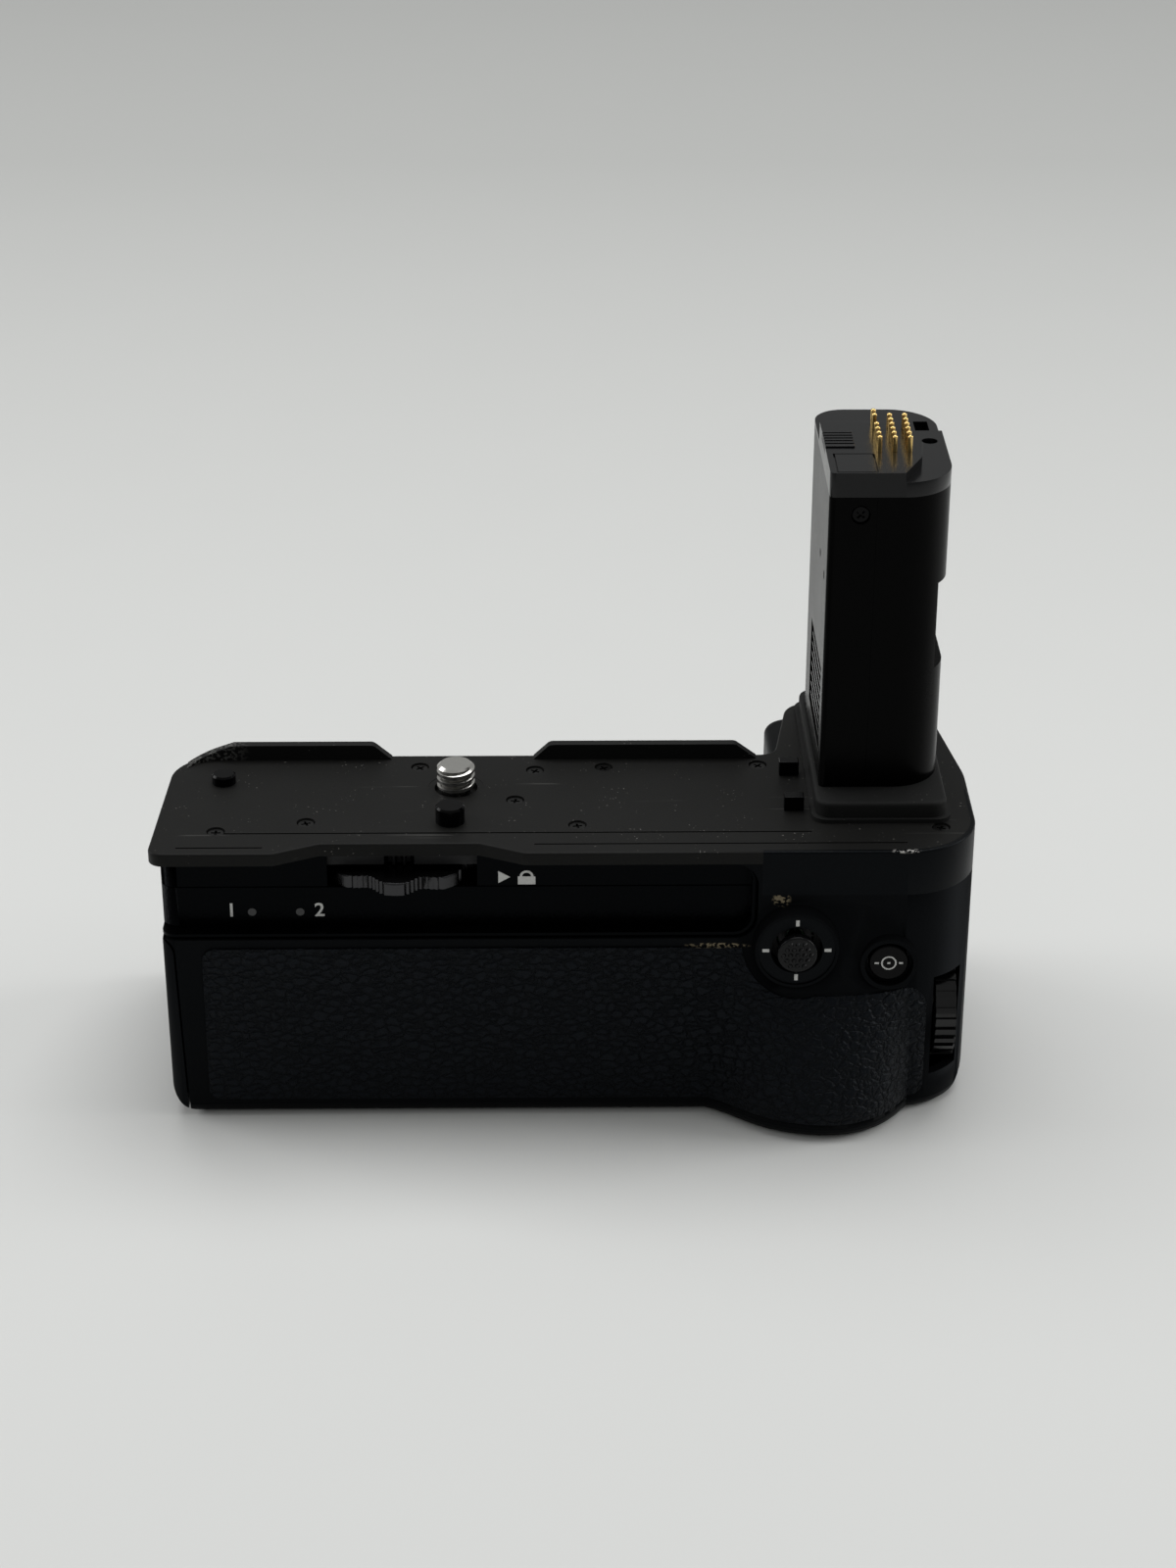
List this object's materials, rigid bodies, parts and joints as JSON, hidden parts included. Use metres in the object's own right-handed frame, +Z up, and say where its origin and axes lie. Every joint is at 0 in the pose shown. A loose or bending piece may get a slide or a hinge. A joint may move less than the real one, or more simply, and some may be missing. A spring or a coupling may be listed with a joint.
{
  "type": "camera battery grip",
  "caption": "Vertical camera grip with a battery-chamber stem, sprung contacts, a lock wheel, second shutter controls and a sliding battery tray.",
  "frame": {"origin": "middle of the overall length and depth, at the bottom of the base", "axes": "+X towards the stem and shutter end, +Y towards the front (away from the user's palm side), +Z up, the way the stem enters the camera"},
  "size_m": [0.1358, 0.0666, 0.112],
  "materials": {
    "shell_plastic": "fine speckled satin",
    "plate_black": "fine satin paint",
    "rubber_black": "matt",
    "grip_leather": "pebbled grain",
    "control_plastic": "satin",
    "button_gloss": "polished",
    "steel": "bright turned",
    "black_screws": "black oxide",
    "brass_parts": "turned",
    "gold_contacts": "gold plated",
    "board_green": "solder mask",
    "ribbon_amber": "film",
    "switch_dark": "moulded",
    "lamp_lens": "clear smoked"
  },
  "bodies": {
    "grip": {"base_cover": "shell_plastic", "base_screws": "black_screws", "battery_bay": "shell_plastic", "bay_connector": "switch_dark", "button_switches": "switch_dark", "centre_locating_pin": "steel", "contact_block": "shell_plastic", "contact_board": "board_green", "control_board": "board_green", "control_cover": "shell_plastic", "front_dial_axle": "steel", "front_dial_bracket": "steel", "front_leather": "grip_leather", "front_lips": "rubber_black", "front_shell": "shell_plastic", "inner_frame": "steel", "joystick_module": "steel", "joystick_ring": "shell_plastic", "lamp_lenses": "lamp_lens", "left_locating_pin": "steel", "lock_bracket": "steel", "lock_lugs": "black_screws", "main_board": "board_green", "plate_screws": "black_screws", "rear_dial_axle": "steel", "rear_dial_bracket": "steel", "rear_leather": "grip_leather", "rear_shell": "shell_plastic", "recess_panel": "shell_plastic", "rib_block": "shell_plastic", "screw_bush": "brass_parts", "side_board": "board_green", "stem_cap": "shell_plastic", "stem_collar": "rubber_black", "stem_left_shell": "shell_plastic", "stem_ribbon": "ribbon_amber", "stem_right_shell": "shell_plastic", "stem_screw": "black_screws", "top_plate": "plate_black", "tripod_socket": "brass_parts", "wheel_spindle": "steel"},
    "wheel": {"lock_wheel": "rubber_black", "wheel_gear": "brass_parts"},
    "screw": {"tripod_screw": "steel", "screw_gear": "brass_parts"},
    "tray": {"battery_tray": "shell_plastic", "tray_door": "shell_plastic", "tray_terminals": "gold_contacts"},
    "latch": {"door_latch": "control_plastic"},
    "stick_gimbal": {"joystick_gimbal": "steel"},
    "stick_post": {"joystick_post": "steel"},
    "stick_cap": {"joystick_cap": "control_plastic"},
    "function_key": {"function_button": "control_plastic"},
    "dial_rear": {"rear_dial": "control_plastic"},
    "dial_front": {"front_dial": "control_plastic"},
    "shutter": {"shutter_button": "button_gloss"},
    "shutter_lever": {"shutter_lock_lever": "control_plastic"},
    "end_key_low": {"low_end_button": "control_plastic"},
    "end_key_high": {"high_end_button": "control_plastic"},
    "contacts": {"contact_pins": "gold_contacts"}
  },
  "joints": [
    {"name": "lock_wheel_spin", "type": "hinge", "parent": "grip", "child": "wheel", "pos_m": [-0.02727, -0.01016, 0.0423], "axis": [0, 0, 1], "continuous": true},
    {"name": "tripod_screw_spin", "type": "hinge", "parent": "grip", "child": "screw", "pos_m": [-0.01826, -0.00026, 0.0476], "axis": [0, 0, 1], "continuous": true},
    {"name": "tray_slide", "type": "slide", "parent": "grip", "child": "tray", "axis": [-1, 0, 0], "range_m": [0, 0.118]},
    {"name": "latch_turn", "type": "hinge", "parent": "tray", "child": "latch", "pos_m": [-0.06266, 0.00014, 0.0274], "axis": [1, 0, 0], "range_deg": [0, 90]},
    {"name": "joystick_up_down", "type": "hinge", "parent": "grip", "child": "stick_gimbal", "pos_m": [0.03794, -0.02121, 0.0328], "axis": [1, 0, 0], "range_deg": [-6, 6], "stiffness_Nm_per_rad": 0.01},
    {"name": "joystick_left_right", "type": "hinge", "parent": "stick_gimbal", "child": "stick_post", "pos_m": [0.03794, -0.02121, 0.0328], "axis": [0, 0, 1], "range_deg": [-6, 6], "stiffness_Nm_per_rad": 0.01},
    {"name": "joystick_press", "type": "slide", "parent": "stick_post", "child": "stick_cap", "axis": [0, 1, 0], "range_m": [0, 0.0004], "stiffness_N_per_m": 300, "springref_m": -0.0005},
    {"name": "function_button_press", "type": "slide", "parent": "grip", "child": "function_key", "axis": [0, 1, 0], "range_m": [0, 0.0005], "stiffness_N_per_m": 300, "springref_m": -0.0005},
    {"name": "rear_dial_spin", "type": "hinge", "parent": "grip", "child": "dial_rear", "pos_m": [0.06363, -0.01376, 0.016], "axis": [1, 0, 0], "continuous": true},
    {"name": "front_dial_spin", "type": "hinge", "parent": "grip", "child": "dial_front", "pos_m": [0.05763, 0.02414, 0.022], "axis": [1, 0, 0], "continuous": true},
    {"name": "shutter_press", "type": "slide", "parent": "grip", "child": "shutter", "axis": [-1, 0, 0], "range_m": [0, 0.0009], "stiffness_N_per_m": 300, "springref_m": -0.0005},
    {"name": "shutter_lock_turn", "type": "hinge", "parent": "grip", "child": "shutter_lever", "pos_m": [0.06513, 0.01814, 0.022], "axis": [1, 0, 0], "range_deg": [0, 30]},
    {"name": "low_end_button_press", "type": "slide", "parent": "grip", "child": "end_key_low", "axis": [-1, 0, 0], "range_m": [0, 0.0005], "stiffness_N_per_m": 300, "springref_m": -0.0005},
    {"name": "high_end_button_press", "type": "slide", "parent": "grip", "child": "end_key_high", "axis": [-1, 0, 0], "range_m": [0, 0.0005], "stiffness_N_per_m": 300, "springref_m": -0.0005},
    {"name": "contact_press", "type": "slide", "parent": "grip", "child": "contacts", "axis": [0, 0, -1], "range_m": [0, 0.0012], "stiffness_N_per_m": 400, "springref_m": -0.0005}
  ],
  "couplings": [
    {"joint": "tripod_screw_spin", "follows": "lock_wheel_spin", "ratio": -1.5}
  ]
}
